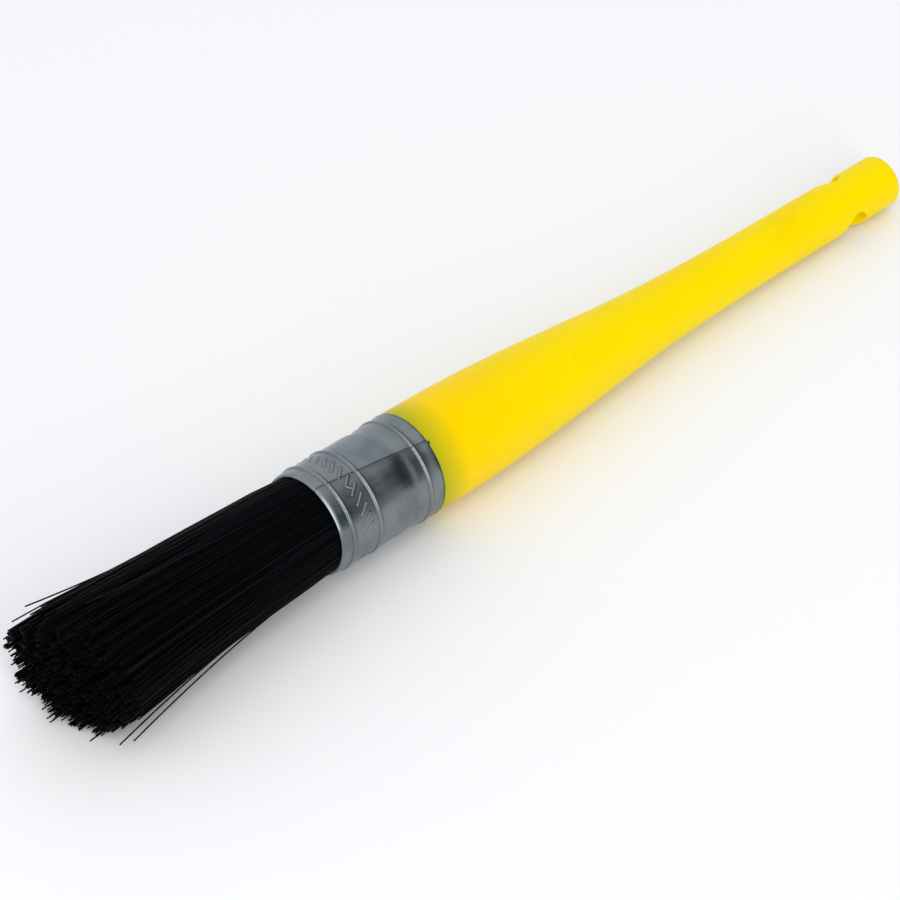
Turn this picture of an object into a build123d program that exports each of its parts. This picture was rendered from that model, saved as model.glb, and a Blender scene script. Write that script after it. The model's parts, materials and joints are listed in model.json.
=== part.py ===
from build123d import *
import os
from math import asin, atan, atan2, cos, degrees, hypot, radians, sin

# Round parts-cleaning brush, in millimetres.
#
# Every piece is built about the brush's own axis, X: x = 0 is the ferrule's front rim, the handle runs
# towards +X and the bristles towards -X. Angles round the axis ("around") are in degrees from straight up,
# turning towards the -Y side. At the end the whole brush is laid on the floor, z = 0, where it rests on the
# swell and the end of the handle and on the underside of the bristles.

# Ferrule: one strip of thin steel, rolled into a tube and lapped
ferrule_radius = 16.0
ferrule_length = 39.4
wall = 0.45
bead_stations = (4.6, 14.8, 34.6)
bead_height = 0.55
bead_width = 2.1
bead_inner_narrowing = 0.25
front_lip_length = 1.3
front_lip_drop = 0.45
front_lip_bow = (0.585, 0.135)
seam_front_around = 13.0
seam_back_around = 30.0
seam_lap_width = 4.0
seam_lap_height = 0.3
seam_nub_size = (1.3, 1.0, 0.45)
seam_nub_rounding = 0.3
sunk_depth = 0.15
dimple_station = 28.8
dimple_count = 4
dimple_first_around = 47.0
dimple_ball_radius = 6.5
dimple_depth = 0.5

# Band of slanted strokes rolled into the ferrule between its first two beads
stroke_count = 32
stroke_station = 10.4
stroke_advance = 3.6
stroke_turn = 3.0
stroke_width = 0.6
stroke_height = 0.2

# Handle: moulded plastic, cored from the front
handle_end = 244.9
shoulder_gap = 0.2
shoulder_rounding = 0.4
shoulder_radius = 16.2
grip_stations = ((62.0, 15.9), (88.0, 14.45), (115.0, 12.15), (144.0, 9.95), (175.0, 8.9))
grip_samples = 400
end_radius = 8.3
end_rounding = 1.4
end_slope = -0.01
tenon_start = 21.5
tenon_clearance = 0.05
core_mouth_radius = 10.5
core_end_radius = 4.5
core_end = 150.0
hole_station = 225.4
hole_radius = 5.0
hole_around = -57.0
hole_rounding = 0.6

# Resin, and the bristles set in it
resin_start = 12.0
bristle_root_radius = 15.0
flare_overlap = 1.5
flare_slimming = 0.4
tuft_edge_station = -83.5
tuft_edge_radius = 20.8
tuft_hollow = 0.3
tuft_tip = -88.0
tuft_lean = 1.32
tuft_lean_around = 165.0
bristle_diameter = 0.45

# Bristles that stand away from the tuft: (around, station of the tip, distance of the tip from the axis)
stray_root_station = -4.0
stray_clearance = 0.05
strays = (
    (130.0, -86.0, 25.1),
    (124.0, -81.5, 26.0),
    (137.0, -91.5, 21.5),
    (-50.0, -89.0, 20.5),
    (62.0, -85.0, 24.2),
    (-104.0, -82.5, 23.8),
    (8.0, -83.0, 23.2),
)


def turned(*edges):
    """Solid of revolution from a closed outline of edges drawn in (station, radius)."""
    outline = make_face([Plane.XZ * edge for edge in edges])
    return revolve(outline, axis=Axis.X, revolution_arc=360)


def turn_to(around, shape):
    """The shape, built on top of the brush, carried round the axis."""
    return Rot(X=around) * shape


def wall_edges(lift, bead_narrowing=0.0):
    """The ferrule's wall line from front to back: an inward lip, a plain run and three beads."""
    radius = ferrule_radius + lift
    lip = (front_lip_bow[0], radius - front_lip_bow[1])
    edges = [ThreePointArc((0, radius - front_lip_drop), lip, (front_lip_length, radius))]
    station = front_lip_length
    half = bead_width / 2 - bead_narrowing
    for bead in bead_stations:
        edges.append(Line((station, radius), (bead - half, radius)))
        crest = (bead, radius + bead_height)
        edges.append(ThreePointArc((bead - half, radius), crest, (bead + half, radius)))
        station = bead + half
    edges.append(Line((station, radius), (ferrule_length, radius)))
    return edges


def wall_ring(inner_lift, outer_lift, inner_narrowing=0.0):
    """A ring of the ferrule's wall between two lifts from its nominal outer radius."""
    outer = wall_edges(outer_lift)
    inner = wall_edges(inner_lift, inner_narrowing)
    front = Line(inner[0] @ 0, outer[0] @ 0)
    back = Line(inner[-1] @ 1, outer[-1] @ 1)
    return turned(*outer, *inner, front, back)


def seam_lap():
    """The outer edge of the lapped sheet: a raised strip that runs slightly askew from rim to rim."""
    skew_run = radians(seam_back_around - seam_front_around) * ferrule_radius
    skew = degrees(atan2(skew_run, ferrule_length))
    middle = (seam_front_around + seam_back_around) / 2
    strip_size = (2 * ferrule_length, seam_lap_width, 2 * ferrule_radius)
    strip = Box(*strip_size, align=(Align.CENTER, Align.MAX, Align.MIN))
    strip = Pos(X=ferrule_length / 2) * Rot(Z=-skew) * strip
    return wall_ring(-sunk_depth, seam_lap_height) & turn_to(middle, strip)


def seam_nub():
    """The corner of the lapped sheet that stands out behind the back rim, just clear of the handle."""
    length, width, height = seam_nub_size
    bottom = ferrule_radius + seam_lap_height - tenon_clearance
    skin = Cylinder(bottom + height, 2 * length) - Cylinder(bottom, 2 * length)
    block = Box(length, width, 2 * bottom, align=(Align.CENTER, Align.MAX, Align.MIN))
    block = fillet(block.edges().filter_by(Axis.Z), seam_nub_rounding)
    return turn_to(seam_back_around, Pos(X=ferrule_length) * (Rot(Y=90) * skin & block))


def stroke_band():
    """Slanted strokes, raised from the wall, evenly spaced round the band between the first two beads."""
    length = hypot(stroke_advance, stroke_turn)
    slant = degrees(atan2(stroke_turn, stroke_advance))
    skin = Cylinder(ferrule_radius + stroke_height, length) - Cylinder(ferrule_radius - sunk_depth, length)
    skin = Pos(X=stroke_station) * Rot(Y=90) * skin
    stroke = Box(length, stroke_width, 2 * stroke_width)
    stroke = Pos(stroke_station, 0, ferrule_radius) * Rot(Z=slant) * stroke
    return [skin & turn_to(360 * i / stroke_count, stroke) for i in range(stroke_count)]


def dimple(around, inner_offset=0.0):
    """A ball that presses a dimple into the ferrule, and a larger one for the dent under it."""
    ball = Sphere(dimple_ball_radius + inner_offset)
    height = ferrule_radius - dimple_depth + dimple_ball_radius
    return turn_to(around, Pos(dimple_station, 0, height) * ball)


def dimple_arounds():
    return [dimple_first_around + 360 * i / dimple_count for i in range(dimple_count)]


def ferrule():
    bore = Cylinder(ferrule_radius - wall / 2, 4 * dimple_ball_radius)
    bore_space = Pos(X=dimple_station) * Rot(Y=90) * bore
    tube = wall_ring(-wall, 0, bead_inner_narrowing)
    for around in dimple_arounds():
        tube += dimple(around, wall) & bore_space
        tube -= dimple(around)
    return tube + seam_lap() + seam_nub() + stroke_band()


def grip_line():
    """The handle's side from its shoulder, over the swell and the waist, to its end."""
    grip_start = (ferrule_length + shoulder_gap + shoulder_rounding, shoulder_radius)
    grip_end = (handle_end - end_rounding, end_radius)
    return Spline(grip_start, *grip_stations, grip_end, tangents=((1, 0), (1, end_slope)))


def handle():
    """Tenon, shoulder, swell, waist and rounded end, cored from the tenon's face, with the hang hole."""
    tenon_radius = ferrule_radius - wall - tenon_clearance
    shoulder = ferrule_length + shoulder_gap
    grip = grip_line()
    grip_start, grip_end = grip @ 0, grip @ 1
    rim_end = (handle_end, end_radius - end_rounding)
    corner = (shoulder, shoulder_radius - shoulder_rounding)
    body = turned(
        Line((tenon_start, core_mouth_radius), (tenon_start, tenon_radius)),
        Line((tenon_start, tenon_radius), (shoulder, tenon_radius)),
        Line((shoulder, tenon_radius), corner),
        RadiusArc(corner, grip_start, shoulder_rounding),
        grip,
        TangentArc(grip_end, rim_end, tangent=grip % 1),
        Line(rim_end, (handle_end, 0)),
        Line((handle_end, 0), (core_end, 0)),
        Line((core_end, 0), (core_end, core_end_radius)),
        Line((core_end, core_end_radius), (tenon_start, core_mouth_radius)),
    )
    for around in dimple_arounds():
        body -= dimple(around, wall + tenon_clearance)
    hang_hole = turn_to(hole_around, Pos(X=hole_station) * Cylinder(hole_radius, 4 * end_radius))
    body -= hang_hole
    mouth = [edge for edge in body.edges() if is_hole_mouth(edge)]
    return fillet(mouth, hole_rounding)


def is_hole_mouth(edge):
    """True for the two edges where the hang hole breaks out of the handle."""
    box = edge.bounding_box()
    near = abs(box.center().X - hole_station) < hole_rounding
    return near and abs(box.size.X - 2 * hole_radius) < hole_rounding


def resin_set():
    radius = ferrule_radius - wall - tenon_clearance
    length = tenon_start - tenon_clearance - resin_start
    return Pos(X=resin_start + length / 2) * Rot(Y=90) * Cylinder(radius, length)


def tuft(growth=0.0):
    """The mass of bristles as one solid: a straight root, a flare that leans a little, and a domed tip.

    The flare starts inside the root, a little slimmer, so that only its root end is hidden there. Growth
    makes the whole of it thicker all round.
    """
    root_radius = bristle_root_radius + growth
    edge_radius = tuft_edge_radius + growth
    root_end = resin_start - tenon_clearance
    root = Pos(X=root_end / 2) * Rot(Y=90) * Cylinder(root_radius, root_end)
    flare_start = (flare_overlap, root_radius - flare_slimming)
    side_middle = (tuft_edge_station / 2, (root_radius + edge_radius) / 2 - tuft_hollow)
    side_end = (tuft_edge_station, edge_radius)
    dome_rise = tuft_edge_station - tuft_tip + growth
    dome_radius = (edge_radius**2 + dome_rise**2) / (2 * dome_rise)
    half_spread = asin(edge_radius / dome_radius) / 2
    tip = (tuft_edge_station - dome_rise, 0)
    dome_middle = (tip[0] + dome_radius * (1 - cos(half_spread)), dome_radius * sin(half_spread))
    flare = turned(
        ThreePointArc(flare_start, side_middle, side_end),
        ThreePointArc(side_end, dome_middle, tip),
        Line(tip, (flare_overlap, 0)),
        Line((flare_overlap, 0), flare_start),
    )
    flare = turn_to(tuft_lean_around, Rot(Y=tuft_lean) * flare)
    return root + flare


def stray(around, tip_station, tip_distance, core):
    """One bristle that leaves the side of the tuft and runs straight to its tip."""
    root_distance = bristle_root_radius - bristle_diameter
    run = stray_root_station - tip_station
    rise = tip_distance - root_distance
    lift = degrees(atan2(rise, run))
    reach = hypot(run, rise)
    bristle = Cylinder(bristle_diameter / 2, reach, align=(Align.CENTER, Align.CENTER, Align.MIN))
    bristle = Pos(stray_root_station, 0, root_distance) * Rot(Y=-90 + lift) * bristle
    outside = turn_to(around, bristle) - core
    return max(outside.solids(), key=lambda solid: solid.volume)


def rest_tilt():
    """Tilt that sets the handle's end and swell on one floor: the steepest line between them."""
    grip = grip_line()
    end = grip @ 1
    swell = [grip @ (i / grip_samples) for i in range(grip_samples // 2)]
    return degrees(atan(max((point.Y - end.Y) / (end.X - point.X) for point in swell)))


def above_floor(shape):
    """The shape without what would reach below the floor."""
    reach = 4 * handle_end
    return shape & Box(reach, reach, handle_end, align=(Align.CENTER, Align.CENTER, Align.MIN))


handle_body = handle()
tuft_room = tuft(growth=stray_clearance)

# The brush lies with its handle on the floor
tilted = Rot(Y=rest_tilt())
laid_down = Pos(Z=-(tilted * handle_body).bounding_box().min.Z) * tilted
pieces = {
    "handle": laid_down * handle_body,
    "ferrule": laid_down * ferrule(),
    "resin_set": laid_down * resin_set(),
    "bristle_tuft": above_floor(laid_down * tuft()),
    "stray_bristles": laid_down * Compound([stray(*row, tuft_room) for row in strays]),
}

# The origin is the middle of the brush's footprint
footprint = Compound(list(pieces.values())).bounding_box()
to_origin = Pos(-footprint.center().X, -footprint.center().Y, 0)

os.makedirs("parts", exist_ok=True)
for name, piece in pieces.items():
    export_step(to_origin * piece, f"parts/{name}.step")
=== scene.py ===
import json
import math

import bpy
import numpy as np
from mathutils import Matrix, Vector


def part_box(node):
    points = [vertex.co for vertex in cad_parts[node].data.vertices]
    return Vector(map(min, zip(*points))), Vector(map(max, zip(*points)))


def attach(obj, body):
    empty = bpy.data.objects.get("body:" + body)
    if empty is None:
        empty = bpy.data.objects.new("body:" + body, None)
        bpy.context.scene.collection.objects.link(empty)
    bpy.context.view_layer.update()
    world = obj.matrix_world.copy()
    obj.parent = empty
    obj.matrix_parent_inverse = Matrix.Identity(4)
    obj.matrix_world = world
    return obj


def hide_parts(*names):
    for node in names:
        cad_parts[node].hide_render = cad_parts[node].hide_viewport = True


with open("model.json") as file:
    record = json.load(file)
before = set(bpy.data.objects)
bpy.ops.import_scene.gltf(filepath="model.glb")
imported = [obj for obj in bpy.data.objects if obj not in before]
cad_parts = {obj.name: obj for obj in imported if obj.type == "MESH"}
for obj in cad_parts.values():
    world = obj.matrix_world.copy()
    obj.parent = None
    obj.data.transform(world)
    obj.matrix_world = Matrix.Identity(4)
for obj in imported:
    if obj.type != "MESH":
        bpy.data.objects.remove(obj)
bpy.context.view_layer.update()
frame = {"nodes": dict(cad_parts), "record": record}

# Round parts-cleaning brush. The brush's lengths and the camera's place are in millimetres, and are turned
# into metres with MM; those of the materials, the floor and the light are in metres.
# A station is a distance along the brush's axis from the ferrule's front rim, towards the handle.
# "Around" angles are in degrees about the axis, from straight up, turning towards the -Y side.
MM = 0.001
SEED = 7

# The middle of the resin, which fixes the brush's axis together with the hang hole
RESIN_MIDDLE_STATION = 16.725

# Handle: how far from the ferrule its olive painted shade and its warmer yellow fade out
OLIVE_PAINTED_SHADE_LENGTH = 11.0
WARM_LENGTH = 58.0

# Ferrule
FERRULE_LENGTH = 39.4
FERRULE_RADIUS = 16.0
WALL = 0.45
LIP_LENGTH = 1.3
LIP_DROP = 0.45
BEAD_STATIONS = (4.6, 14.8, 34.6)
BEAD_HEIGHT = 0.46
BEAD_HALF_WIDTH = 0.8
SEAM_FRONT_AROUND = 13.0
SEAM_BACK_AROUND = 30.0
LAP_HEIGHT = 0.16
CREVICE_DEPTH = 0.12
CREVICE_WIDTH = 0.16
STROKE_COUNT = 32
STROKE_STATION = 10.4
STROKE_ADVANCE = 3.6
STROKE_TURN = 3.0
STROKE_HALF_WIDTH = 0.34
STROKE_HEIGHT = 0.2
CROSS_STROKE_STATION = 9.6
CROSS_STROKE_AROUND = 30.5
CROSS_STROKE_HALF_LENGTH = 1.1
DIMPLE_STATION = 28.8
DIMPLE_AROUNDS = (47.0, 137.0, 227.0, 317.0)
DIMPLE_RADII = (3.2, 6.5)
DIMPLE_DEPTH = 0.26
GROOVE_DEPTH = 0.2
FLARE_START = 36.0
FLARE_HEIGHT = 0.36

# The sheet's corner behind the back rim: its length, width and height, how far it stands off the tube and
# how far past the seam, and its layers as (share of its height, share of its length and width)
NUB_SIZE = (1.3, 1.0, 0.45)
NUB_LIFT = 0.1
NUB_PAST_SEAM = 2.2
NUB_LAYERS = ((0.0, 1.0), (0.65, 1.0), (0.9, 0.93), (1.0, 0.75))
NUB_SIDES = 20

# Waves in the sheet: their height, and (share of it, number round the tube, radians per millimetre, phase)
WAVINESS = 0.025
SHEET_WAVES = ((1.0, 3, 0.21, 0.4), (0.6, 5, -0.33, 1.9), (0.5, 8, 0.12, 0.7))

# Painted shade and painted highlights on the steel: strength from 0 to 1, or (strength, distance over which
# it fades).
# Round the tube both are painted on the strokes unevenly, most at one angle.
BEAD_PAINTED_SHADE = (0.4, 0.24)
BEAD_PAINTED_HIGHLIGHT = (0.18, 0.2)
STROKE_PAINTED_SHADE = (0.55, 0.2)
STROKE_PAINTED_SHADE_OFF = 1.3 * STROKE_HALF_WIDTH
STROKE_PAINTED_HIGHLIGHT = (0.7, 0.6 * STROKE_HALF_WIDTH)
STROKE_PAINT_MEAN = 0.55
STROKE_PAINT_SWING = 0.45
MOST_PAINTED_AROUND = 15.0
LAP_PAINTED_SHADE = (0.4, 0.45)
CREVICE_PAINTED_SHADE = 0.8
DIMPLE_PAINTED_SHADE = 0.4
DIMPLE_PAINTED_SHADE_AHEAD = 1.8
DIMPLE_PAINTED_SHADE_RADII = (1.6, 4.0)
BACK_RIM_PAINTED_SHADE = 0.9
BACK_RIM_PAINTED_SHADE_LENGTH = 0.55
BACK_RIM_PAINTED_SHADE_RISE = 0.4
NUB_DARKENING = 0.6

# The ferrule's grid along the tube: close lines over the lip, and over each bead and the strokes as (half
# width, number of lines); even steps elsewhere, unless a close line is nearer than LEAST_STEP
LIP_LINES = 9
BEAD_LINES = (0.95, 21)
STROKE_LINES = (2.2, 28)
EVEN_STEP = 0.5
LEAST_STEP = 0.15
BACK_RIM_STEP = 0.06
INNER_ROWS = 14

# The ferrule's grid round the tube: degrees past the seam, even turns as (first, last, number), and
# degrees short of the seam again
PAST_SEAM_TURNS = (0, 0.35, 0.8, 1.5, 2.4, 3.4)
EVEN_TURNS = (4.1, 355.2, 520)
SHORT_OF_SEAM_TURNS = (4.4, 3.4, 2.6, 1.9, 1.4, 1.05, 0.75, 0.5, 0.3, 0.16, 0.05)

# Bristles
BRISTLE_DIAMETER = 0.45
BRISTLE_COUNT = 3400
BRISTLE_SIDES = 5
OUTER_SHARE = 0.30
INNER_STEPS = 5
OUTER_STEPS = 10
ROOT_STATION = 11.6
ROOT_RADIUS = 14.95
ROOT_SHAKE = 0.05
MOUTH_STATION = 1.0
OUTLINE_STATIONS = (-92.0, -83.5, -76.5, -67.0, -58.0, -39.0, -20.0, -10.0, -3.0, 0.0, 12.0)
OUTLINE_RADII = (21.5, 20.9, 20.2, 19.4, 18.6, 17.3, 16.4, 15.95, 15.6, 15.05, 15.0)
FULL_STATION = -80.0
SPREAD_POWER = 1.7
LEAN = 2.3
LEAN_AROUND = 152.0
DRIFT = 0.36
WILD_SHARE = 0.035
WILD_DRIFT = 1.4
SWING = 0.1
SWING_POWER = 0.8
SWING_LENGTHS = (28, 55)
SHADE_POWER = 3
FLOOR_SOFTNESS = 2.0

# The locks that the bristles gather into. Near the tips those of the long side gather more, and RIM_HOLD
# keeps the outermost ones from leaving the tuft's outline.
LOCK_COUNT = 110
LEAST_LOCK_SHARE = 0.02
LOCK_PULL = 0.25
LONG_SIDE_PULL = 0.4
LONG_SIDE_POWER = 7
RIM_HOLD = 4

# The tips: a dome that slopes, with its short side at one angle, uneven by bristle and by lock
TIP_STATION = -89.0
TIP_DOME = 3.6
TIP_DOME_POWER = 4
TIP_SLOPE = 6.4
TIP_SLOPE_AROUND = 116.0
TIP_SPREAD = 1.5
LOCK_TIP_SPREAD = 0.55
LONG_SIDE_TIP_SPREAD = 2.4
LONGEST_TIP = -94.5

# Bristles that stand away: (around, station of the tip, distance of the tip from the axis, bow)
STRAYS = (
    (130.0, -86.0, 25.1, 1.65),
    (124.0, -83.1, 26.3, 1.5),
    (137.0, -91.9, 20.2, 1.2),
    (-50.0, -89.0, 20.3, 2.2),
    (62.0, -85.0, 24.2, 1.4),
    (-104.0, -82.5, 23.8, 1.5),
    (8.0, -83.0, 23.2, 1.5),
)
STRAY_SIDES = 8
STRAY_STEPS = 15
STRAY_MOUTH_STATION = 0.5
STRAY_INSET = 0.35
STRAY_SHADE = 0.5

# Studio. The camera looks along +X and +Y and down, and is placed by where the middle of the ferrule's
# front rim lies in its view: to the right, up and away.
CAMERA_AZIMUTH = -44.25
CAMERA_ELEVATION = 41.6
RIM_IN_VIEW = (-41.0, -21.4, 1268.3)
CAMERA_LENS = 180
CAMERA_SENSOR = 36
CAMERA_CLIPS = (0.05, 50)
FLOOR_SIZE = 8.0

# Directions in the studio are (share along the brush's axis, angle about it)
KEY_DIRECTION = (-0.42, 48)
KEY_DISTANCE = 2.2
KEY_LENGTH = 2.8
KEY_WIDTH = 0.32
KEY_RADIANCE = 8.0
DARK_DIRECTION = (0.68, 52)
SKY_STRENGTH = 1.1

resin_low, resin_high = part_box("resin_set")
mounts = frame["record"]["mounts"]
hole_centre = Vector(next(m["pos_m"] for m in mounts if m["name"] == "hang_hole"))
resin_centre = (resin_low + resin_high) / 2
AXIS = (hole_centre - resin_centre).normalized()
RIM = resin_centre - AXIS * RESIN_MIDDLE_STATION * MM
SIDE = AXIS.cross(Vector((0, 0, 1))).normalized()
UP = SIDE.cross(AXIS).normalized()
random = np.random.default_rng(SEED)


def place(station, right, up):
    """Points of the row frame, in metres, from a station and two offsets across the axis."""
    along = np.multiply.outer(np.asarray(station, float), np.array(AXIS))
    across = np.multiply.outer(np.asarray(right, float), np.array(SIDE))
    height = np.multiply.outer(np.asarray(up, float), np.array(UP))
    return np.array(RIM) + (along + across + height) * MM


def place_around(station, radius, around):
    """Points of the row frame, in metres, from a station, a distance from the axis and an around angle."""
    angle = np.radians(around)
    return place(station, radius * np.sin(angle), radius * np.cos(angle))


def smooth_step(x):
    """Rises smoothly from 0 at 0 to 1 at 1."""
    t = np.clip(x, 0, 1)
    return t * t * (3 - 2 * t)


def hump(distance, reach):
    """Falls smoothly from 1 in the middle to 0 at its reach."""
    return np.cos(np.pi / 2 * np.minimum(np.abs(distance) / reach, 1)) ** 2


def peak(distance, width):
    """Falls from 1 in the middle along a bell curve."""
    return np.exp(-((distance / width) ** 2))


def ring_quads(start, rings, sides, joined=False):
    """Faces between rings of points, from each to the next, and if joined from the last to the first."""
    faces = []
    for ring in range(rings if joined else rings - 1):
        here, there = start + ring * sides, start + (ring + 1) % rings * sides
        for i in range(sides):
            j = (i + 1) % sides
            faces.append((here + i, here + j, there + j, there + i))
    return faces


def add_object(name, data):
    """A new object of the scene."""
    added_object = bpy.data.objects.new(name, data)
    bpy.context.scene.collection.objects.link(added_object)
    return added_object


def make_piece(name, points, faces, materials, replaced, face_materials=None):
    """A smooth-shaded mesh that rides on the brush."""
    mesh = bpy.data.meshes.new(name)
    mesh.from_pydata(np.asarray(points).tolist(), [], faces)
    for material in materials:
        mesh.materials.append(material)
    if face_materials is not None:
        mesh.polygons.foreach_set("material_index", np.asarray(face_materials, np.int32))
    mesh.polygons.foreach_set("use_smooth", np.ones(len(mesh.polygons), bool))
    mesh.update()
    piece = add_object(name, mesh)
    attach(piece, "root")
    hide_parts(replaced)
    return piece


def add_values(piece, name, values):
    """Gives each point a number that the material reads under this name."""
    attribute = piece.data.attributes.new(name, "FLOAT", "POINT")
    attribute.data.foreach_set("value", np.asarray(values, np.float32))


def keep_sharp(piece, sharp):
    """Keeps edges crisp in the smooth shading, given True or False for every edge."""
    piece.data.attributes.new("sharp_edge", "BOOLEAN", "EDGE").data.foreach_set("value", sharp)


# ---------------------------------------------------------------- materials

# Sockets of a Mix node that mixes colours
FIRST_COLOUR, SECOND_COLOUR, MIXED_COLOUR = 6, 7, 2


def new_material(name):
    material = bpy.data.materials.new(name)
    material.use_nodes = True
    nodes = material.node_tree.nodes
    return material, nodes, material.node_tree.links, nodes["Principled BSDF"]


def brush_space(nodes, links, scale=(1, 1, 1)):
    """Object coordinates turned so that X runs along the brush, then scaled."""
    coordinates = nodes.new("ShaderNodeTexCoord")
    mapping = nodes.new("ShaderNodeMapping")
    mapping.inputs["Rotation"].default_value = (0, math.asin(AXIS.z), 0)
    mapping.inputs["Scale"].default_value = scale
    links.new(coordinates.outputs["Object"], mapping.inputs["Vector"])
    return mapping.outputs["Vector"]


def noise(nodes, links, vector, scale, detail=2.0, roughness=0.5):
    node = nodes.new("ShaderNodeTexNoise")
    node.inputs["Scale"].default_value = scale
    node.inputs["Detail"].default_value = detail
    node.inputs["Roughness"].default_value = roughness
    links.new(vector, node.inputs["Vector"])
    return node.outputs["Fac"]


def attribute(nodes, name):
    """The numbers that add_values() gives a piece's points."""
    node = nodes.new("ShaderNodeAttribute")
    node.attribute_name = name
    return node.outputs["Fac"]


def mapped(nodes, links, value, to_range, from_range=(0.0, 1.0)):
    """A value mapped from one range to another, and held at its ends."""
    node = nodes.new("ShaderNodeMapRange")
    node.inputs["From Min"].default_value, node.inputs["From Max"].default_value = from_range
    node.inputs["To Min"].default_value, node.inputs["To Max"].default_value = to_range
    links.new(value, node.inputs["Value"])
    return node.outputs["Result"]


def mixed(nodes, links, factor, first, second):
    """A colour mix; each colour is a tuple or a socket."""
    node = nodes.new("ShaderNodeMix")
    node.data_type = "RGBA"
    links.new(factor, node.inputs["Factor"])
    for socket, colour in ((node.inputs[FIRST_COLOUR], first), (node.inputs[SECOND_COLOUR], second)):
        if isinstance(colour, tuple):
            socket.default_value = (*colour, 1)
        else:
            links.new(colour, socket)
    return node.outputs[MIXED_COLOUR]


def added(nodes, links, first, second):
    node = nodes.new("ShaderNodeMath")
    node.operation = "ADD"
    links.new(first, node.inputs[0])
    links.new(second, node.inputs[1])
    return node.outputs["Value"]


def bump(nodes, links, height, shader, distance, strength):
    node = nodes.new("ShaderNodeBump")
    node.inputs["Distance"].default_value = distance
    node.inputs["Strength"].default_value = strength
    links.new(height, node.inputs["Height"])
    links.new(node.outputs["Normal"], shader.inputs["Normal"])


def handle_plastic():
    """Satin yellow moulded plastic with faint scuffs, warmer towards the ferrule, and with olive shade
    painted beside it.
    """
    yellow, deep_yellow, warm_yellow = (0.93, 0.705, 0.0), (0.92, 0.672, 0.0), (0.93, 0.575, 0.0)
    scuffed, olive_painted_shade = (0.82, 0.47, 0.0), (0.37, 0.40, 0.015)
    material, nodes, links, shader = new_material("handle_plastic")
    plain = brush_space(nodes, links)
    stretched = brush_space(nodes, links, (0.08, 1, 1))
    cloud = noise(nodes, links, plain, scale=26.0, detail=3.0)
    scuffs = noise(nodes, links, plain, scale=70.0, detail=4.0, roughness=0.6)
    scratches = noise(nodes, links, stretched, scale=1900.0)
    grain = noise(nodes, links, plain, scale=1500.0, detail=3.0)
    position = nodes.new("ShaderNodeSeparateXYZ")
    links.new(plain, position.inputs["Vector"])
    along = position.outputs["X"]
    shoulder = RIM.dot(AXIS) + FERRULE_LENGTH * MM
    clouding = mapped(nodes, links, cloud, (0, 1), from_range=(0.35, 0.7))
    warmth = mapped(nodes, links, along, (0.8, 0.0), from_range=(shoulder, shoulder + WARM_LENGTH * MM))
    scuffing = mapped(nodes, links, scuffs, (0, 0.2), from_range=(0.58, 0.72))
    # Painted shade: the handle is darkened to olive beside the ferrule
    shade = mapped(nodes, links, along, (0.93, 0.0), from_range=(shoulder, shoulder + OLIVE_PAINTED_SHADE_LENGTH * MM))
    colour = mixed(nodes, links, clouding, yellow, deep_yellow)
    colour = mixed(nodes, links, warmth, colour, warm_yellow)
    colour = mixed(nodes, links, scuffing, colour, scuffed)
    colour = mixed(nodes, links, shade, colour, olive_painted_shade)
    links.new(colour, shader.inputs["Base Color"])
    satin = mapped(nodes, links, cloud, (0.33, 0.45))
    scratched = mapped(nodes, links, scratches, (0.0, 0.08), from_range=(0.3, 0.7))
    links.new(added(nodes, links, satin, scratched), shader.inputs["Roughness"])
    bump(nodes, links, grain, shader, distance=0.00012, strength=0.2)
    shader.inputs["IOR"].default_value = 1.5
    shader.inputs["Specular IOR Level"].default_value = 0.12
    shader.inputs["Specular Tint"].default_value = (1.0, 0.82, 0.0, 1)
    shader.inputs["Subsurface Weight"].default_value = 0.12
    shader.inputs["Subsurface Radius"].default_value = (1.0, 0.7, 0.1)
    shader.inputs["Subsurface Scale"].default_value = 0.0025
    return material


def ferrule_steel():
    """Tinned steel sheet: cloudy tinning, rolling grain along the tube, highlights painted on the crests
    and shade painted in the hollows.
    """
    dull_tin, pale_tin = (0.158, 0.184, 0.204), (0.229, 0.252, 0.262)
    painted_highlight_steel, painted_shade = (0.40, 0.43, 0.45), (0.035, 0.040, 0.046)
    material, nodes, links, shader = new_material("ferrule_steel")
    plain = brush_space(nodes, links)
    stretched = brush_space(nodes, links, (0.05, 1, 1))
    cloud = noise(nodes, links, plain, scale=110.0, roughness=0.45)
    grain = noise(nodes, links, stretched, scale=2600.0)
    specks = noise(nodes, links, plain, scale=1400.0)
    clouding = mapped(nodes, links, cloud, (0, 1), from_range=(0.36, 0.64))
    colour = mixed(nodes, links, clouding, dull_tin, pale_tin)
    # Painted highlights: bright metal painted on the crests of the beads and strokes
    colour = mixed(nodes, links, attribute(nodes, "painted_highlight"), colour, painted_highlight_steel)
    # Painted shade: dark colour painted at the seam, the back rim, the feet of beads and strokes and the
    # dents
    colour = mixed(nodes, links, attribute(nodes, "crevice"), colour, painted_shade)
    links.new(colour, shader.inputs["Base Color"])
    shader.inputs["Metallic"].default_value = 1.0
    tinning = mapped(nodes, links, cloud, (0.18, 0.34), from_range=(0.3, 0.7))
    rolling = mapped(nodes, links, grain, (0.0, 0.1), from_range=(0.3, 0.7))
    links.new(added(nodes, links, tinning, rolling), shader.inputs["Roughness"])
    bump(nodes, links, specks, shader, distance=0.00002, strength=0.06)
    return material


def bristle_nylon():
    """Black nylon: every bristle a slightly different black, some with a bluish sheen."""
    black, bluish_black = (0.0008, 0.0010, 0.0014), (0.0040, 0.0052, 0.0074)
    material, nodes, links, shader = new_material("bristle_nylon")
    stretched = brush_space(nodes, links, (0.3, 1, 1))
    scuff = noise(nodes, links, stretched, scale=900.0)
    colour = mixed(nodes, links, attribute(nodes, "shade"), black, bluish_black)
    links.new(colour, shader.inputs["Base Color"])
    links.new(mapped(nodes, links, scuff, (0.36, 0.56)), shader.inputs["Roughness"])
    bump(nodes, links, scuff, shader, distance=0.00003, strength=0.3)
    shader.inputs["Specular IOR Level"].default_value = 0.05
    return material


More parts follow.
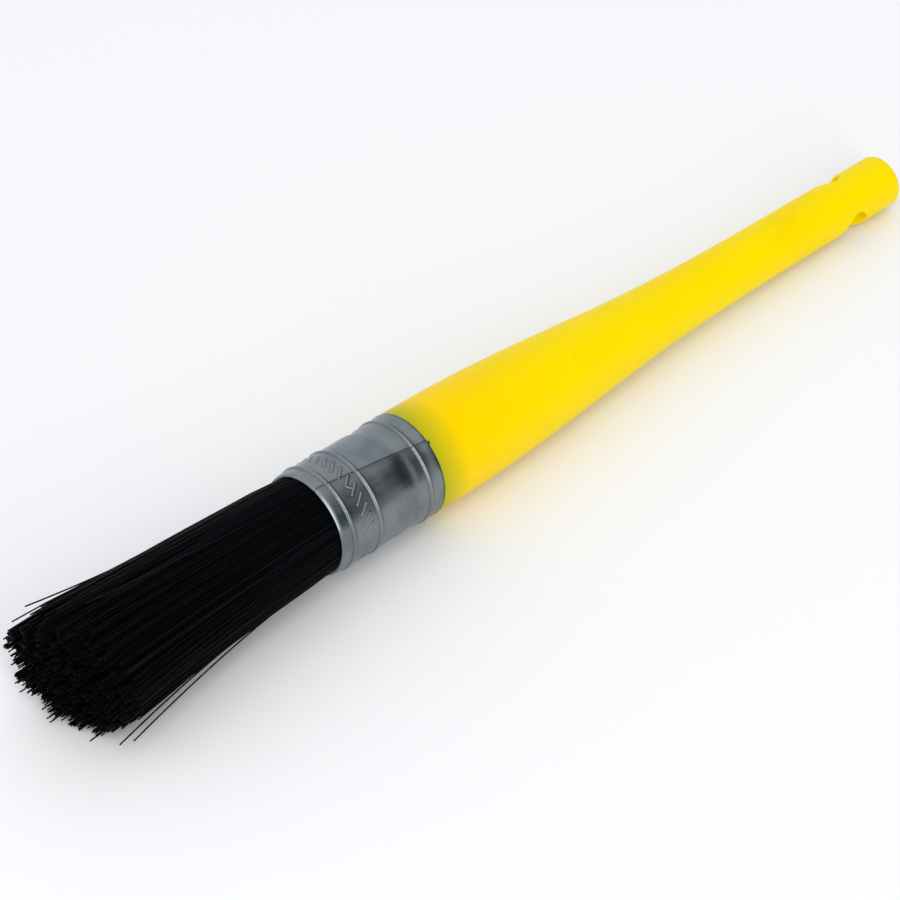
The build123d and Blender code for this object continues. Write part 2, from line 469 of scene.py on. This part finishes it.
def bristle_end():
    """Cut nylon: paler and rougher than the side of a bristle."""
    black, dark_grey = (0.0015, 0.0017, 0.0018), (0.009, 0.0093, 0.009)
    material, nodes, links, shader = new_material("bristle_end")
    speck = noise(nodes, links, brush_space(nodes, links), scale=2500.0)
    links.new(mixed(nodes, links, speck, black, dark_grey), shader.inputs["Base Color"])
    shader.inputs["Roughness"].default_value = 0.7
    shader.inputs["Specular IOR Level"].default_value = 0.08
    bump(nodes, links, speck, shader, distance=0.00005, strength=0.5)
    return material


def cast_resin():
    """Brown resin with darker swirls and small bubbles."""
    brown, dark_brown = (0.34, 0.24, 0.11), (0.22, 0.14, 0.06)
    material, nodes, links, shader = new_material("cast_resin")
    plain = brush_space(nodes, links)
    swirl = noise(nodes, links, plain, scale=160.0, detail=4.0, roughness=0.65)
    bubbles = nodes.new("ShaderNodeTexVoronoi")
    bubbles.inputs["Scale"].default_value = 900.0
    links.new(plain, bubbles.inputs["Vector"])
    links.new(mixed(nodes, links, swirl, brown, dark_brown), shader.inputs["Base Color"])
    links.new(mapped(nodes, links, swirl, (0.2, 0.4)), shader.inputs["Roughness"])
    bump(nodes, links, bubbles.outputs["Distance"], shader, distance=0.0001, strength=0.4)
    return material


def floor_white():
    """Matt white with barely visible clouds."""
    white, soft_white = (0.90, 0.90, 0.90), (0.88, 0.88, 0.88)
    material, nodes, links, shader = new_material("floor_white")
    tone = noise(nodes, links, brush_space(nodes, links), scale=3.0)
    links.new(mixed(nodes, links, tone, white, soft_white), shader.inputs["Base Color"])
    shader.inputs["Roughness"].default_value = 0.9
    shader.inputs["Specular IOR Level"].default_value = 0.1
    return material


# ---------------------------------------------------------------- ferrule


def round_the_tube(around, centre):
    """Distance round the tube past an angle, from half a turn before it to half a turn past it."""
    return np.radians((around - centre + 180) % 360 - 180) * FERRULE_RADIUS


def seam_around(station):
    """The seam runs askew from rim to rim."""
    return SEAM_FRONT_AROUND + (SEAM_BACK_AROUND - SEAM_FRONT_AROUND) * station / FERRULE_LENGTH


def past_seam(station, around):
    """Distance round the tube past the seam."""
    return round_the_tube(around, seam_around(station))


def lip_lift(station):
    """The front rim is turned in."""
    return -LIP_DROP * np.clip((LIP_LENGTH - station) / LIP_LENGTH, 0, 1) ** 2


def bead_lift(station):
    """The rolled beads."""
    return sum(BEAD_HEIGHT * hump(station - bead, BEAD_HALF_WIDTH) for bead in BEAD_STATIONS)


def lap_lift(station, around):
    """The free edge of the lapped sheet keeps a flat strip, so it stands off the tube at the seam."""
    flat = math.sqrt(2 * FERRULE_RADIUS * LAP_HEIGHT)
    past = past_seam(station, around)
    return np.where(past >= 0, np.maximum(flat - past, 0) ** 2 / (2 * FERRULE_RADIUS), 0)


def flare_lift(station):
    """The back rim is opened a little for the handle."""
    return FLARE_HEIGHT * smooth_step((station - FLARE_START) / (FERRULE_LENGTH - FLARE_START))


def wave_lift(station, around):
    """The sheet isn't quite even."""
    turn = np.radians(around)
    waves = 0
    for share, number, rate, phase in SHEET_WAVES:
        waves += share * np.sin(number * turn + rate * station + phase)
    return WAVINESS * waves


def dimple_drop(station, around):
    """Four long dents and the faint groove that joins them, where the tube is pressed into the handle."""
    past_middle = station - DIMPLE_STATION
    drop = GROOVE_DEPTH * hump(past_middle, DIMPLE_RADII[0])
    for centre in DIMPLE_AROUNDS:
        off = np.hypot(past_middle / DIMPLE_RADII[0], round_the_tube(around, centre) / DIMPLE_RADII[1])
        drop += DIMPLE_DEPTH * hump(off, 1)
    return drop


def sheet_lift(station, around):
    """How far both sides of the sheet stand off a plain tube."""
    lift = lip_lift(station) + bead_lift(station) + lap_lift(station, around)
    lift += flare_lift(station)
    lift += wave_lift(station, around) - dimple_drop(station, around)
    return lift


def off_stroke(along, across, half_length):
    """Distance from a stroke's middle line, from two distances to its middle point."""
    return np.hypot(np.maximum(np.abs(along) - half_length + STROKE_HALF_WIDTH, 0), across)


def off_strokes(station, around):
    """Distance from the rolled-in strokes: a slanted row, and one by the seam that crosses the others."""
    length = math.hypot(STROKE_ADVANCE, STROKE_TURN)
    lean_along, lean_round = STROKE_ADVANCE / length, STROKE_TURN / length
    pitch = 360 / STROKE_COUNT
    turn = (around + pitch / 2) % pitch - pitch / 2
    past = station - STROKE_STATION
    off = np.full(station.shape, np.inf)
    for neighbour in (-pitch, 0, pitch):
        beside = np.radians(turn - neighbour) * FERRULE_RADIUS
        along = past * lean_along - beside * lean_round
        across = past * lean_round + beside * lean_along
        off = np.minimum(off, off_stroke(along, across, length / 2))
    past = station - CROSS_STROKE_STATION
    beside = round_the_tube(around, CROSS_STROKE_AROUND)
    along = past * lean_along + beside * lean_round
    across = past * lean_round - beside * lean_along
    return np.minimum(off, off_stroke(along, across, CROSS_STROKE_HALF_LENGTH))


def mark(kind, distance):
    """How strong a kind of mark is at a distance from its middle."""
    strength, fade = kind
    return strength * peak(distance, fade)


def stroke_paint_strength(around):
    """How strongly the strokes' painted shade and painted highlights show round the tube."""
    return STROKE_PAINT_MEAN + STROKE_PAINT_SWING * np.cos(np.radians(around - MOST_PAINTED_AROUND))


def painted_shade_share(station, around, crevice, stroke_distance):
    """Painted shade on the back rim, at the feet of beads and strokes, in the dents and along the seam."""
    past_start = station - FERRULE_LENGTH + BACK_RIM_PAINTED_SHADE_LENGTH
    share = BACK_RIM_PAINTED_SHADE * smooth_step(past_start / BACK_RIM_PAINTED_SHADE_RISE)
    for bead in BEAD_STATIONS:
        share = np.maximum(share, mark(BEAD_PAINTED_SHADE, np.abs(station - bead) - BEAD_HALF_WIDTH))
    along = (station - DIMPLE_STATION + DIMPLE_PAINTED_SHADE_AHEAD) / DIMPLE_PAINTED_SHADE_RADII[0]
    for centre in DIMPLE_AROUNDS:
        across = round_the_tube(around, centre) / DIMPLE_PAINTED_SHADE_RADII[1]
        share = np.maximum(share, DIMPLE_PAINTED_SHADE * peak(np.hypot(along, across), 1))
    stroke_feet = stroke_paint_strength(around) * mark(STROKE_PAINTED_SHADE, stroke_distance - STROKE_PAINTED_SHADE_OFF)
    seam = np.maximum(CREVICE_PAINTED_SHADE * crevice, mark(LAP_PAINTED_SHADE, past_seam(station, around)))
    return np.maximum(np.maximum(share, stroke_feet), seam)


def painted_highlight_share(station, around, stroke_distance):
    """Painted highlights: bright metal painted on the crests of the strokes and the beads."""
    share = stroke_paint_strength(around) * mark(STROKE_PAINTED_HIGHLIGHT, stroke_distance)
    for bead in BEAD_STATIONS:
        share = np.maximum(share, mark(BEAD_PAINTED_HIGHLIGHT, station - bead))
    return share


def close_lines(middle, half_width, count):
    """Even grid lines on both sides of a station."""
    return np.linspace(middle - half_width, middle + half_width, count)


def ferrule_stations():
    """Grid lines along the tube, closer over the lip, the strokes and the beads."""
    lip = np.linspace(0, LIP_LENGTH, LIP_LINES)
    beads = [close_lines(bead, *BEAD_LINES) for bead in BEAD_STATIONS]
    close = np.concatenate([lip, close_lines(STROKE_STATION, *STROKE_LINES), *beads])
    even = np.arange(LIP_LENGTH, FERRULE_LENGTH, EVEN_STEP)
    even = even[np.abs(even[:, None] - close).min(1) > LEAST_STEP]
    back_rim = [FERRULE_LENGTH - BACK_RIM_STEP, FERRULE_LENGTH]
    return np.unique(np.round(np.concatenate([close, even, back_rim]), 4))


def ferrule_turns():
    """Angles past the seam, closer on both sides of it."""
    return np.concatenate([PAST_SEAM_TURNS, np.linspace(*EVEN_TURNS), 360 - np.array(SHORT_OF_SEAM_TURNS)])


def build_ferrule(material):
    """One sheet: rows of its outer side from the front rim to the back, then of its inner side back."""
    stations, turns = ferrule_stations(), ferrule_turns()
    station = np.repeat(stations[:, None], len(turns), 1)
    around = seam_around(station) + turns
    lift = sheet_lift(station, around)
    crevice = peak(past_seam(station, around) + CREVICE_WIDTH, CREVICE_WIDTH)
    stroke_distance = off_strokes(station, around)
    strokes = STROKE_HEIGHT * hump(stroke_distance, STROKE_HALF_WIDTH)
    outer = FERRULE_RADIUS + lift + strokes - CREVICE_DEPTH * crevice
    inner_rows = np.linspace(len(stations) - 1, 0, INNER_ROWS).astype(int)
    inner = FERRULE_RADIUS - WALL + lift[inner_rows]
    radius = np.concatenate([outer, inner])
    both_stations = np.concatenate([station, station[inner_rows]])
    both_arounds = np.concatenate([around, around[inner_rows]])
    rows, columns = radius.shape
    sheet_points = place_around(both_stations, radius, both_arounds).reshape(-1, 3)
    nub_points, nub_faces = nub_mesh(len(sheet_points))
    points = np.concatenate([sheet_points, nub_points])
    faces = ring_quads(0, rows, columns, joined=True) + nub_faces
    piece = make_piece("ferrule_sheet", points, faces, [material], "ferrule")
    # Painted shade for the outer side of the sheet
    painted_shade = painted_shade_share(station, around, crevice, stroke_distance).ravel()
    # Painted highlights for the outer side of the sheet
    painted_highlight = painted_highlight_share(station, around, stroke_distance).ravel()
    clean = np.zeros(inner.size)
    # The nub is painted dark all over, with the same dark colour
    nub_darkening = np.full(len(nub_points), NUB_DARKENING)
    add_values(piece, "crevice", np.concatenate([painted_shade, clean, nub_darkening]))
    add_values(piece, "painted_highlight", np.concatenate([painted_highlight, clean, np.zeros(len(nub_points))]))
    sharpen_sheet(piece, rows, columns, len(stations))


def sharpen_sheet(piece, rows, columns, outer_rows):
    """Keeps the cut edges of the sheet crisp: both rims and the step at the seam."""
    edges = piece.data.edges
    ends = np.empty(2 * len(edges), np.int32)
    edges.foreach_get("vertices", ends)
    first, second = ends[0::2], ends[1::2]
    first_row, first_column = np.divmod(first, columns)
    second_row, second_column = np.divmod(second, columns)
    on_sheet = (first_row < rows) & (second_row < rows)
    rim_rows = np.array([0, outer_rows - 1, outer_rows, rows - 1])
    on_rim = (first_row == second_row) & np.isin(first_row, rim_rows)
    on_seam = (first_column == 0) & (second_column == 0) & (first_row < outer_rows)
    keep_sharp(piece, on_sheet & (on_rim | on_seam))


def nub_mesh(start):
    """The corner of the lapped sheet behind the back rim: a small plate with rounded corners."""
    length, width, height = NUB_SIZE
    angle = np.linspace(0, 2 * np.pi, NUB_SIDES, endpoint=False)
    squared = (np.abs(np.cos(angle)) ** 4 + np.abs(np.sin(angle)) ** 4) ** -0.25
    points = []
    for level, share in NUB_LAYERS:
        station = FERRULE_LENGTH + np.cos(angle) * squared * share * length / 2
        off_middle = np.sin(angle) * squared * share * width / 2
        radius = FERRULE_RADIUS + NUB_LIFT + level * height
        around = SEAM_BACK_AROUND + np.degrees(off_middle / FERRULE_RADIUS) + NUB_PAST_SEAM
        points.append(place_around(station, radius, around))
    # Turned over, so that the walls face out of the plate
    faces = [(a, d, c, b) for a, b, c, d in ring_quads(start, len(NUB_LAYERS), NUB_SIDES)]
    top = start + (len(NUB_LAYERS) - 1) * NUB_SIDES
    faces.append(tuple(range(top + NUB_SIDES - 1, top - 1, -1)))
    faces.append(tuple(range(start, start + NUB_SIDES)))
    return np.concatenate(points), faces


# ---------------------------------------------------------------- bristles


def heading(around):
    """Offsets across the axis, right and up, of one millimetre towards an angle."""
    angle = math.radians(around)
    return np.array([math.sin(angle), math.cos(angle)])


def dot(first, second):
    """The dot product of two pairs of offsets."""
    return first[0] * second[0] + first[1] * second[1]


def growth(station, power):
    """Grows from 0 at the front rim to 1 at the full station, and on beyond it."""
    return np.clip(station / FULL_STATION, 0, None) ** power


def off_the_floor(points):
    """Bristles that would reach below the floor lie pressed together on it."""
    lowest = BRISTLE_DIAMETER / 2 * MM
    soft = FLOOR_SOFTNESS * MM
    z = points[..., 2]
    pressed = lowest + soft * np.exp(np.minimum(z - lowest - soft, 0) / soft)
    points[..., 2] = np.where(z < lowest + soft, pressed, z)
    return points


def tubes(centres, sides):
    """Closed tubes round many centrelines at once: points, faces, and which faces are the cut ends."""
    count, steps, _ = centres.shape
    tangent = np.gradient(centres, axis=1)
    tangent /= np.linalg.norm(tangent, axis=2, keepdims=True)
    first = np.cross(tangent, np.array(SIDE))
    first /= np.linalg.norm(first, axis=2, keepdims=True)
    second = np.cross(tangent, first)
    angle = (2 * np.pi * np.arange(sides) / sides)[:, None]
    ring = first[:, :, None] * np.cos(angle) + second[:, :, None] * np.sin(angle)
    points = centres[:, :, None] + ring * (BRISTLE_DIAMETER / 2 * MM)
    faces, ends = [], []
    for tube in range(count):
        base = tube * steps * sides
        last = base + (steps - 1) * sides
        walls = ring_quads(base, steps, sides)
        faces += walls
        faces.append(tuple(range(last, last + sides)))
        faces.append(tuple(range(base + sides - 1, base - 1, -1)))
        ends += [0] * len(walls) + [1, 0]
    return points.reshape(-1, 3), faces, ends


def sharpen_ends(piece, ends):
    """A cut bristle end has a crisp edge."""
    mesh = piece.data
    cut_edges = {key for polygon, end in zip(mesh.polygons, ends) if end for key in polygon.edge_keys}
    keep_sharp(piece, [edge.key in cut_edges for edge in mesh.edges])


def bristle_roots():
    """Where the bristles stand in the ferrule, from the middle out: an even spiral, slightly shaken."""
    index = np.arange(BRISTLE_COUNT) + 0.5
    radius = np.sqrt(index / BRISTLE_COUNT) * (ROOT_RADIUS - BRISTLE_DIAMETER / 2)
    angle = index * math.pi * (3 - math.sqrt(5))
    spiral = radius * np.array([np.sin(angle), np.cos(angle)])
    return spiral + random.normal(0, ROOT_SHAKE, (2, BRISTLE_COUNT))


def bristle_locks(root):
    """The lock that each bristle leans towards: the offsets to its middle, and its number."""
    angle = random.uniform(0, 2 * np.pi, LOCK_COUNT)
    radius = np.sqrt(random.uniform(LEAST_LOCK_SHARE, 1, LOCK_COUNT)) * ROOT_RADIUS
    middle = radius * np.array([np.sin(angle), np.cos(angle)])
    distance = np.hypot(*(root[:, :, None] - middle[:, None]))
    nearest = np.argmin(distance, 1)
    return middle[:, nearest] - root, nearest


def bristle_drifts():
    """How far each bristle strays from its neighbours, and the few wild ones farther."""
    drift = random.normal(0, DRIFT, (2, BRISTLE_COUNT))
    wild = random.uniform(0, 1, BRISTLE_COUNT) < WILD_SHARE
    return np.where(wild, drift * WILD_DRIFT / DRIFT, drift)


def tip_stations(share, towards, long_side, lock):
    """Where each bristle is cut."""
    tip = TIP_STATION + TIP_DOME * share**TIP_DOME_POWER + TIP_SLOPE * towards
    lock_spread = LOCK_TIP_SPREAD + LONG_SIDE_TIP_SPREAD * long_side
    uneven = random.normal(0, TIP_SPREAD, BRISTLE_COUNT)
    tip += uneven + lock_spread * random.normal(0, 1, LOCK_COUNT)[lock]
    return np.maximum(tip, LONGEST_TIP)


def bristle_lines():
    """A function that gives the centrelines of chosen bristles. Offsets across the axis are (right, up)."""
    root = bristle_roots()
    to_lock, lock = bristle_locks(root)
    drift = bristle_drifts()
    off_middle = np.hypot(*root)
    share = off_middle / ROOT_RADIUS
    towards = dot(root, heading(TIP_SLOPE_AROUND)) / ROOT_RADIUS
    long_side = np.clip(-towards, 0, 1) ** 2
    inward = dot(to_lock, root) / off_middle**2 * share**RIM_HOLD
    gather = to_lock - inward * root
    tip = tip_stations(share, towards, long_side, lock)
    wave_phase = random.uniform(0, 2 * np.pi, (2, BRISTLE_COUNT))
    wave_length = random.uniform(*SWING_LENGTHS, BRISTLE_COUNT)
    lean = LEAN * heading(LEAN_AROUND)

    def lines(chosen, steps):
        """One step inside the ferrule, the rest spread from its mouth to the tip."""
        inside = np.full((len(chosen), 1), ROOT_STATION)
        outside = MOUTH_STATION + np.linspace(0, 1, steps - 1) * (tip[chosen, None] - MOUTH_STATION)
        station = np.concatenate([inside, outside], 1)
        outline = np.interp(station, OUTLINE_STATIONS, OUTLINE_RADII) / ROOT_RADIUS
        spread = growth(station, SPREAD_POWER)
        swing = SWING * growth(station, SWING_POWER)
        wave_turn = 2 * np.pi * station / wave_length[chosen, None]
        wave = swing * np.sin(wave_turn + wave_phase[:, chosen, None])
        pull = LOCK_PULL * spread
        long_pull = LONG_SIDE_PULL * long_side[chosen, None] * growth(station, LONG_SIDE_POWER)
        across = root[:, chosen, None] + pull * to_lock[:, chosen, None]
        across = (across + long_pull * gather[:, chosen, None]) * outline
        across += drift[:, chosen, None] * spread + wave + lean[:, None, None] * spread
        return off_the_floor(place(station, *across))

    return lines


def build_bristles(name, lines, chosen, steps, materials):
    """One mesh of many bristles, each with a shade of its own."""
    points, faces, ends = tubes(lines(chosen, steps), BRISTLE_SIDES)
    piece = make_piece(name, points, faces, materials, "bristle_tuft", ends)
    shade = random.uniform(0, 1, len(chosen)) ** SHADE_POWER
    add_values(piece, "shade", np.repeat(shade, steps * BRISTLE_SIDES))
    sharpen_ends(piece, ends)


def build_strays(materials):
    root_radius = ROOT_RADIUS - STRAY_INSET
    centres = []
    for around, tip, distance, bow in STRAYS:
        outside = np.linspace(STRAY_MOUTH_STATION, tip, STRAY_STEPS - 1)
        station = np.concatenate([[ROOT_STATION], outside])
        radius = root_radius + (distance - root_radius) * np.clip(station / tip, 0, 1) ** bow
        centres.append(place_around(station, radius, around))
    points, faces, ends = tubes(np.array(centres), STRAY_SIDES)
    name = "stray_bristle_tubes"
    piece = make_piece(name, points, faces, materials, "stray_bristles", ends)
    add_values(piece, "shade", np.full(len(points), STRAY_SHADE))
    sharpen_ends(piece, ends)


# ---------------------------------------------------------------- studio


def round_direction(along, around):
    """A direction from its share along the axis and its angle about it."""
    angle = math.radians(around)
    across = math.sqrt(1 - along * along)
    return AXIS * along + (UP * math.cos(angle) + SIDE * math.sin(angle)) * across


def build_floor():
    mesh = bpy.data.meshes.new("floor")
    half = FLOOR_SIZE / 2
    corners = [(-half, -half, 0), (half, -half, 0), (half, half, 0), (-half, half, 0)]
    mesh.from_pydata(corners, [], [(0, 1, 2, 3)])
    mesh.materials.append(floor_white())
    floor = add_object("floor", mesh)


def build_camera():
    azimuth, elevation = math.radians(CAMERA_AZIMUTH), math.radians(CAMERA_ELEVATION)
    level = Vector((-math.sin(azimuth), math.cos(azimuth), 0))
    right = Vector((math.cos(azimuth), math.sin(azimuth), 0))
    forward = math.cos(elevation) * level - math.sin(elevation) * Vector((0, 0, 1))
    up = math.sin(elevation) * level + math.cos(elevation) * Vector((0, 0, 1))
    data = bpy.data.cameras.new("camera")
    data.lens = CAMERA_LENS
    data.sensor_width = CAMERA_SENSOR
    data.clip_start, data.clip_end = CAMERA_CLIPS
    camera = add_object("camera", data)
    to_rim = RIM_IN_VIEW[0] * right + RIM_IN_VIEW[1] * up + RIM_IN_VIEW[2] * forward
    turn = Matrix((right, up, -forward)).transposed()
    camera.matrix_world = Matrix.Translation(RIM - to_rim * MM) @ turn.to_4x4()
    bpy.context.scene.camera = camera


def build_key_light():
    """A long soft box across the brush, high up on the side of its bristles."""
    data = bpy.data.lights.new("key", "AREA")
    data.shape = "RECTANGLE"
    data.size = KEY_LENGTH
    data.size_y = KEY_WIDTH
    data.energy = KEY_RADIANCE * math.pi * KEY_LENGTH * KEY_WIDTH
    light = add_object("key", data)
    back = round_direction(*KEY_DIRECTION).normalized()
    lengthwise = round_direction(0, KEY_DIRECTION[1] + 90)
    x = (lengthwise - back * lengthwise.dot(back)).normalized()
    y = back.cross(x)
    turn = Matrix((x, y, back)).transposed()
    light.matrix_world = Matrix.Translation(back * KEY_DISTANCE) @ turn.to_4x4()
    light.visible_camera = False


def facing(nodes, links, vector, direction):
    """How far a vector points in a direction: 1 straight along it, 0 square to it."""
    node = nodes.new("ShaderNodeVectorMath")
    node.operation = "DOT_PRODUCT"
    node.inputs[1].default_value = direction
    links.new(vector, node.inputs[0])
    return node.outputs["Value"]


def build_sky():
    """A pale sky, duskier towards the handle's end, with a dark region for the steel to reflect."""
    pale, dusky, dark = (0.87, 0.89, 0.92), (0.42, 0.44, 0.47), (0.150, 0.150, 0.142)
    world = bpy.data.worlds.new("studio")
    world.use_nodes = True
    bpy.context.scene.world = world
    nodes, links = world.node_tree.nodes, world.node_tree.links
    outwards = nodes.new("ShaderNodeTexCoord").outputs["Generated"]
    to_handle_end = facing(nodes, links, outwards, AXIS)
    to_dark = facing(nodes, links, outwards, round_direction(*DARK_DIRECTION))
    dusk = mapped(nodes, links, to_handle_end, (0, 1), from_range=(0.56, 0.92))
    darkness = mapped(nodes, links, to_dark, (0, 1), from_range=(0.76, 0.93))
    colour = mixed(nodes, links, dusk, pale, dusky)
    colour = mixed(nodes, links, darkness, colour, dark)
    links.new(colour, nodes["Background"].inputs["Color"])
    nodes["Background"].inputs["Strength"].default_value = SKY_STRENGTH


# ---------------------------------------------------------------- the brush and its studio

plastic = handle_plastic()
steel = ferrule_steel()
nylon = bristle_nylon()
cut_end = bristle_end()
resin = cast_resin()

solid_pieces = (("handle", plastic, "handle_plastic"), ("resin_set", resin, "resin"))
for node_name, material, slot_name in solid_pieces:
    node = frame["nodes"][node_name]
    node.data.materials.clear()
    node.data.materials.append(material)

build_ferrule(steel)
centrelines = bristle_lines()
split = int(BRISTLE_COUNT * (1 - OUTER_SHARE))
inner_bristles, outer_bristles = np.arange(split), np.arange(split, BRISTLE_COUNT)
build_bristles("bristles_inner", centrelines, inner_bristles, INNER_STEPS, [nylon, cut_end])
build_bristles("bristles_outer", centrelines, outer_bristles, OUTER_STEPS, [nylon, cut_end])
build_strays([nylon, cut_end])

build_floor()
build_camera()
build_key_light()
build_sky()

bpy.context.scene.view_settings.view_transform = "Standard"
bpy.context.scene.view_settings.look = "None"
bpy.context.scene.view_settings.exposure = 0.0
